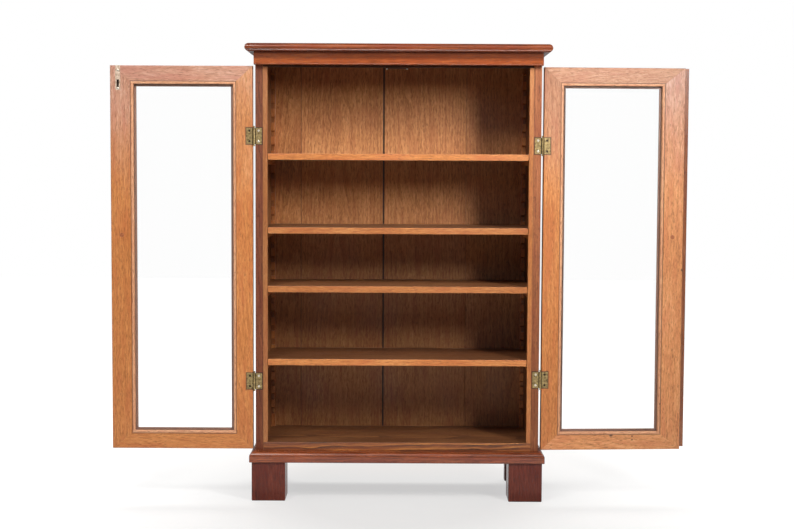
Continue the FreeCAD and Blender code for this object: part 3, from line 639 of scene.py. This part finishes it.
# These two are painted paler: painted light on the lower right door
paintedLitMembers = ("right_bottom_rail", "right_free_stile")
doorMarks = {  # metres, and radius in mm
    "right_hinge_stile": [((0.4653, -0.1322, 0.4051), 2.6), ((0.4832, -0.1311, 0.2105), 1.6)],
    "right_bottom_rail": [((0.6687, -0.1198, 0.2030), 8.0), ((0.7351, -0.1157, 0.1990), 4.0),
                          ((0.7351, -0.1157, 0.1880), 4.0)],
    "right_free_stile": [((0.8840, -0.1066, 0.7200), 5.5), ((0.8700, -0.1075, 0.4476), 2.0)],
    "right_glazing_beads": [((0.8219, -0.1104, 0.3000), 4.0)],
    "right_astragal": [((0.8984, -0.0850, 1.1876), 2.4), ((0.8984, -0.0850, 0.4476), 2.4)],
}
for side, door in doors.items():
    outside = {"normal": door["normal"], "at": door["at"], "look": stainedOak}
    leaf = {"x": door["leafX"], "heights": hingeHeights[side], "half": leafHalf, "normal": door["normal"],
            "at": door["at"]}
    low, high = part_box(side + "_glazing_beads")
    centre = (low + high) / 2
    pane = {"centre": centre, "turn": door["turn"], "half": ((high.x - low.x) / 2, (high.z - low.z) / 2)}
    for index, (member, (grain, pith)) in enumerate(doorMembers.items()):
        nodeName = side + "_" + member
        hinged = member == "hinge_stile"
        look = paintedLitOak if nodeName in paintedLitMembers else honeyOak
        # Painted sheen on the upper ends of every member
        paintedSheen = paintedSheenHinge[side] if hinged else paintedSheenOak["left" if member == "free_stile" else side]
        oak(nodeName, look, grain, pith, door["seed"] + index, 7.0, outside, pane=pane, paintedSheen=paintedSheen,
            marks=doorMarks.get(nodeName, ()), leaf=leaf if hinged else None)
    nodeName = side + "_glazing_beads"
    oak(nodeName, beadOak, "z", (50, 80), door["seed"] + 6, 6.0, pane=pane, marks=doorMarks.get(nodeName, ()),
        crossGrain={"middle": centre.z, "half": pane["half"][1] - beadWide})
    oak(side + "_knob", plugOak, "y", (14, 10), door["seed"] + 8, 4.0, outside)

# The cover strip is rubbed where it meets the left door and stained like the doors outside
rightNormal = Vector(doors["right"]["normal"])
stripDepth = min(v.co.dot(rightNormal) for v in nodes["right_astragal"].data.vertices)
oak("right_astragal", rubbedStain, "z", (40, 70), 97, 7.0, marks=doorMarks["right_astragal"],
    faced={"normal": doors["right"]["normal"], "at": stripDepth, "look": stainedOak})
print("door oak done")

# Drawn window glass: nearly clear face on, a thin mirror at a slant, faintly wavy with a green edge
windowGlass = {
    "tint": "#7C8D84", "ior": 1.52, "clear": 0.012, "slant": 0.7, "falloff": 4.0,
    "waveMm": 90.0, "waveDeepMm": 2.0, "waveBump": 0.12, "smearMm": 60.0,
    "smearSpan": (0.35, 0.75), "smearRough": (0.02, 0.12),
}


def drawnGlass(w):
    material = newMaterial("drawn_window_glass")
    tree = material.node_tree
    place = addNode(tree, "ShaderNodeTexCoord").outputs["Object"]
    waves = addNode(tree, "ShaderNodeTexNoise", {"Vector": place, "Scale": 1 / (w["waveMm"] * mm)})
    smear = addNode(tree, "ShaderNodeTexNoise", {
        "Vector": place, "Scale": 1 / (w["smearMm"] * mm), "Detail": 4.0})
    dust = addNode(tree, "ShaderNodeMapRange", {"Value": smear, **span(*w["smearSpan"], *w["smearRough"])})
    bump = addNode(tree, "ShaderNodeBump", {
        "Strength": w["waveBump"], "Distance": w["waveDeepMm"] * mm, "Height": waves})
    slant = addNode(tree, "ShaderNodeLayerWeight", {"Blend": 0.5})  # the same for a pane's near and far face
    mirror = addNode(tree, "ShaderNodeMath", {0: slant.outputs["Facing"], 1: w["falloff"]}, operation="POWER")
    cover = addNode(tree, "ShaderNodeMapRange", {"Value": mirror, **span(0.0, 1.0, w["clear"], w["slant"])})
    pane = addNode(tree, "ShaderNodeBsdfPrincipled", {
        "Base Color": toLinear(w["tint"]), "Roughness": dust, "IOR": w["ior"], "Alpha": cover,
        "Normal": bump})
    addNode(tree, "ShaderNodeOutputMaterial", {"Surface": pane})
    return material


glass = drawnGlass(windowGlass)
for side in doors:
    dress(side + "_glass", glass)
print("glass done")

# Metals: what they are, how they were made, and how age left them
metalLooks = {
    # rolled brass, pressed and hand filed: dull yellow with brown tarnish in clouds, dirt and painted shade
    # along the knuckles
    "tarnished_rolled_brass": {"clean": "#A48F62", "aged": "#66543A", "rim": "#33281A", "rough": 0.40,
                               "cloudMm": 7.0, "scratchMm": 0.8, "creaseShadeAt": (0.4396, 0.4485)},
    # turned iron wood screws, browned: nearly black with a faint shine
    "browned_iron": {"clean": "#4A3F36", "aged": "#231A14", "rim": "#17110D", "rough": 0.48,
                     "cloudMm": 2.5, "scratchMm": 0.5, "creaseShadeAt": ()},
    # turned steel wood screws with bright heads
    "bright_turned_steel": {"clean": "#E4DFD4", "aged": "#A89C86", "rim": "#8A7E6C", "rough": 0.30,
                            "cloudMm": 2.5, "scratchMm": 0.5, "creaseShadeAt": ()},
    # nickelled sheet: warm pale grey, worn through in places
    "worn_nickel_plate": {"clean": "#C4AF9C", "aged": "#917D6A", "rim": "#5A4A3B", "rough": 0.5,
                          "cloudMm": 9.0, "scratchMm": 0.7, "creaseShadeAt": ()},
}
metalFinish = {
    "tarnish": (0.38, 0.66), "edgeMm": 0.5, "edgeLean": (0.99, 0.85), "edgeShare": 0.85,
    "creaseShadeHalf": 1.2 * mm, "creaseShadeShare": 0.8, "drawn": 0.12, "bump": 0.25, "reliefMm": 0.15,
    "smoother": 0.08, "rougher": 0.16,
}


def metal(name):
    m = metalLooks[name]
    f = metalFinish
    material = newMaterial(name)
    tree = material.node_tree
    place = addNode(tree, "ShaderNodeTexCoord").outputs["Object"]
    clouds = addNode(tree, "ShaderNodeTexNoise", {
        "Vector": place, "Scale": 1 / (m["cloudMm"] * mm), "Detail": 4.0, "Roughness": 0.6})
    drawn = addNode(tree, "ShaderNodeMapping", {"Vector": place, "Scale": (1.0, 1.0, f["drawn"])})
    lines = addNode(tree, "ShaderNodeTexNoise", {
        "Vector": drawn, "Scale": 1 / (m["scratchMm"] * mm), "Detail": 1.0})
    tarnish = addNode(tree, "ShaderNodeMapRange", {"Value": clouds, **span(*f["tarnish"])})
    soft = addNode(tree, "ShaderNodeBevel", {"Radius": f["edgeMm"] * mm}, samples=4)
    shape = addNode(tree, "ShaderNodeNewGeometry")
    lean = addNode(tree, "ShaderNodeVectorMath", {0: soft, 1: shape.outputs["Normal"]},
                   operation="DOT_PRODUCT")
    edge = addNode(tree, "ShaderNodeMapRange", {
        "Value": lean.outputs["Value"], **span(*f["edgeLean"], 0.0, f["edgeShare"])})
    # Edges take the rim colour: painted shade at the gaps round each piece, with grime. Knuckle lines are
    # dirt and painted shade
    covers = [(tarnish, toLinear(m["aged"])), (edge, toLinear(m["rim"]))]
    for at in m["creaseShadeAt"]:  # distances from the middle of the case
        part = addNode(tree, "ShaderNodeSeparateXYZ", {0: place})
        off = addNode(tree, "ShaderNodeMath", {0: part.outputs["X"]}, operation="ABSOLUTE")
        line = addNode(tree, "ShaderNodeMath", {0: off, 1: at, 2: f["creaseShadeHalf"]}, operation="COMPARE")
        darkening = addNode(tree, "ShaderNodeMath", {0: line, 1: f["creaseShadeShare"]}, operation="MULTIPLY")
        covers.append((darkening, toLinear(m["rim"])))
    colour = toLinear(m["clean"])
    for share, cover in covers:
        colour = addNode(tree, "ShaderNodeMix", {0: share, 6: colour, 7: cover}, data_type="RGBA").outputs[2]
    rough = addNode(tree, "ShaderNodeMapRange", {
        "Value": clouds, **span(*noiseMiddle, m["rough"] - f["smoother"], m["rough"] + f["rougher"])})
    bump = addNode(tree, "ShaderNodeBump", {
        "Strength": f["bump"], "Distance": f["reliefMm"] * mm, "Height": lines, "Normal": soft})
    body = addNode(tree, "ShaderNodeBsdfPrincipled", {
        "Base Color": colour, "Metallic": 1.0, "Roughness": rough, "Normal": bump})
    addNode(tree, "ShaderNodeOutputMaterial", {"Surface": body})
    return material


brass = metal("tarnished_rolled_brass")
iron = metal("browned_iron")
steel = metal("bright_turned_steel")
nickel = metal("worn_nickel_plate")
for nodeName in ("carcass_hinge_leaves", "left_hinge_leaves", "right_hinge_leaves", "hinge_pins"):
    dress(nodeName, brass)
dress("bolt_plate", nickel)
dress("slide_bolt", iron)
print("metals done")

# Slotted wood screws, made once in Geometry Nodes and set at each screw hole
screwSizes = {
    "Head Radius": 3.6 * mm, "Head Rise": 0.45 * mm, "Sink": 1.6 * mm, "Shank Radius": 1.75 * mm,
    "Shank Length": 15.0 * mm, "Slot Width": 0.9 * mm, "Slot Depth": 0.8 * mm,
}
screwMesh = {"around": 24, "rings": 12, "seatAround": 22, "shankAround": 12}
seatFit = {"drop": -1.03, "narrow": 0.98}  # a hair lower and narrower than the dome, to join it cleanly
slotReach = {"long": 3.0, "deep": 2.0}     # the blade that cuts a slot, in head radii and slot depths
sharpAngle = math.radians(32)
screwHalfSpacing = 16.4 * mm
forward = (0.0, -1.0, 0.0)
flatHead = {"Head Rise": 0.25 * mm}
shortShank = {"Shank Length": 4.0 * mm}
domeHead = {"Head Radius": 2.8 * mm, "Head Rise": 2.4 * mm, "Sink": 0.6 * mm}
screwSets = {  # hinge screws stand in pairs at each hinge: side, X and Y; the others have places of their own
    "carcass_hinge_screws": {
        "body": "carcass", "slot": "bright_steel", "finish": steel, "facing": forward, "seed": 3, "sizes": {},
        "hinges": (("left", -sideLeafX, frontPlane), ("right", sideLeafX, frontPlane)),
    },
    "left_hinge_screws": {
        "body": "left_door", "slot": "dark_steel", "finish": iron, "facing": forward, "seed": 5,
        "sizes": flatHead, "hinges": (("left", -doorLeafX, frontPlane),),
    },
    "right_hinge_screws": {
        "body": "right_door", "slot": "dark_steel", "finish": iron, "facing": tuple(-rightNormal), "seed": 8,
        "sizes": flatHead, "hinges": (("right", 0.45794, -0.13265),),
    },
    "door_stop_screws": {
        "body": "carcass", "slot": "bright_steel", "finish": steel, "facing": (0.0, 0.0, -1.0), "seed": 13,
        "sizes": domeHead, "places": [(-0.036, -0.1245, 1.3365), (0.026, -0.1245, 1.3365)],
    },
    "bolt_plate_screws": {
        "body": "left_door", "slot": "bright_steel", "finish": steel, "facing": forward, "seed": 21,
        "sizes": shortShank, "places": [(-0.862, frontPlane, 1.2725), (-0.862, frontPlane, 1.328)],
    },
}


def screwPlaces(want):
    if "places" in want:
        return want["places"]
    return [(x, y, height + sign * screwHalfSpacing)
            for side, x, y in want["hinges"] for height in hingeHeights[side] for sign in (-1, 1)]


def screwTree():
    tree = bpy.data.node_groups.new("slottedScrews", "GeometryNodeTree")
    tree.interface.new_socket("Geometry", in_out="INPUT", socket_type="NodeSocketGeometry")
    for name in screwSizes:
        tree.interface.new_socket(name, in_out="INPUT", socket_type="NodeSocketFloat")
    tree.interface.new_socket("Facing", in_out="INPUT", socket_type="NodeSocketVector")
    tree.interface.new_socket("Seed", in_out="INPUT", socket_type="NodeSocketInt")
    tree.interface.new_socket("Finish", in_out="INPUT", socket_type="NodeSocketMaterial")
    tree.interface.new_socket("Geometry", in_out="OUTPUT", socket_type="NodeSocketGeometry")
    given = addNode(tree, "NodeGroupInput").outputs

    flatten = addNode(tree, "ShaderNodeMath", {0: given["Head Rise"], 1: given["Head Radius"]},
                      operation="DIVIDE")
    squat = addNode(tree, "ShaderNodeCombineXYZ", {"X": 1.0, "Y": 1.0, "Z": flatten})
    ball = addNode(tree, "GeometryNodeMeshUVSphere", {
        "Segments": screwMesh["around"], "Rings": screwMesh["rings"], "Radius": given["Head Radius"]})
    dome = addNode(tree, "GeometryNodeTransform", {"Geometry": ball, "Scale": squat})
    sunk = addNode(tree, "ShaderNodeMath", {0: given["Sink"], 1: seatFit["drop"]}, operation="MULTIPLY")
    sinkShift = addNode(tree, "ShaderNodeCombineXYZ", {"Z": sunk})
    under = addNode(tree, "ShaderNodeMath", {0: given["Head Radius"], 1: seatFit["narrow"]},
                    operation="MULTIPLY")
    cone = addNode(tree, "GeometryNodeMeshCone", {
        "Vertices": screwMesh["seatAround"], "Radius Top": under, "Radius Bottom": given["Shank Radius"],
        "Depth": given["Sink"]})
    seat = addNode(tree, "GeometryNodeTransform", {"Geometry": cone, "Translation": sinkShift})
    head = addNode(tree, "GeometryNodeMeshBoolean", operation="UNION", solver="EXACT")
    tree.links.new(dome.outputs[0], head.inputs["Mesh 2"])
    tree.links.new(seat.outputs[0], head.inputs["Mesh 2"])

    slotLong = addNode(tree, "ShaderNodeMath", {0: given["Head Radius"], 1: slotReach["long"]},
                       operation="MULTIPLY")
    slotDeep = addNode(tree, "ShaderNodeMath", {0: given["Slot Depth"], 1: slotReach["deep"]},
                       operation="MULTIPLY")
    slotSize = addNode(tree, "ShaderNodeCombineXYZ", {"X": slotLong, "Y": given["Slot Width"], "Z": slotDeep})
    blade = addNode(tree, "GeometryNodeMeshCube", {"Size": slotSize})
    slotLift = addNode(tree, "ShaderNodeCombineXYZ", {"Z": given["Head Rise"]})
    cutter = addNode(tree, "GeometryNodeTransform", {"Geometry": blade, "Translation": slotLift})
    slotted = addNode(tree, "GeometryNodeMeshBoolean", {"Mesh 1": head, "Mesh 2": cutter},
                      operation="DIFFERENCE", solver="EXACT")

    half = addNode(tree, "ShaderNodeMath", {0: given["Shank Length"], 1: -0.5}, operation="MULTIPLY")
    shankShift = addNode(tree, "ShaderNodeCombineXYZ", {"Z": half})
    rod = addNode(tree, "GeometryNodeMeshCylinder", {
        "Vertices": screwMesh["shankAround"], "Radius": given["Shank Radius"],
        "Depth": given["Shank Length"]})
    shank = addNode(tree, "GeometryNodeTransform", {"Geometry": rod, "Translation": shankShift})
    screw = addNode(tree, "GeometryNodeJoinGeometry")
    tree.links.new(slotted.outputs[0], screw.inputs[0])
    tree.links.new(shank.outputs[0], screw.inputs[0])

    faced = addNode(tree, "FunctionNodeAlignRotationToVector", {"Vector": given["Facing"]}, axis="Z")
    driven = addNode(tree, "FunctionNodeRandomValue", {3: math.pi, "Seed": given["Seed"]}, data_type="FLOAT")
    twist = addNode(tree, "FunctionNodeAxisAngleToRotation", {  # a slot stops anywhere in half a turn
        "Axis": (0.0, 0.0, 1.0), "Angle": driven.outputs[1]})
    turned = addNode(tree, "FunctionNodeRotateRotation", {"Rotation": faced, "Rotate By": twist},
                     rotation_space="LOCAL")
    placed = addNode(tree, "GeometryNodeInstanceOnPoints", {
        "Points": given["Geometry"], "Instance": screw, "Rotation": turned})
    real = addNode(tree, "GeometryNodeRealizeInstances", {"Geometry": placed})
    plated = addNode(tree, "GeometryNodeSetMaterial", {"Geometry": real, "Material": given["Finish"]})
    addNode(tree, "NodeGroupOutput", {"Geometry": plated})
    return tree


def screwPiece(tree, name, want):
    mesh = bpy.data.meshes.new(name + "_points")
    mesh.from_pydata(screwPlaces(want), [], [])
    holder = bpy.data.objects.new(name + "_points", mesh)
    scene.collection.objects.link(holder)
    modifier = holder.modifiers.new("screws", "NODES")
    modifier.node_group = tree
    values = {**screwSizes, **want["sizes"], "Facing": want["facing"], "Seed": want["seed"],
              "Finish": want["finish"]}
    for item in tree.interface.items_tree:
        if item.in_out == "INPUT" and item.name in values:
            modifier[item.identifier] = values[item.name]
    made = holder.evaluated_get(bpy.context.evaluated_depsgraph_get())
    solid = bpy.data.meshes.new_from_object(made)
    bpy.data.objects.remove(holder)
    solid.name = name + "_slotted"
    if not solid.materials:
        solid.materials.append(want["finish"])
    solid.polygons.foreach_set("use_smooth", [True] * len(solid.polygons))
    solid.set_sharp_from_angle(angle=sharpAngle)
    piece = bpy.data.objects.new(name + "_slotted", solid)
    scene.collection.objects.link(piece)
    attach(piece, want["body"])
    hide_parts(name)
    print(" ", name, len(solid.polygons), "faces")


slottedScrews = screwTree()
for name, want in screwSets.items():
    screwPiece(slottedScrews, name, want)
print("screws done")
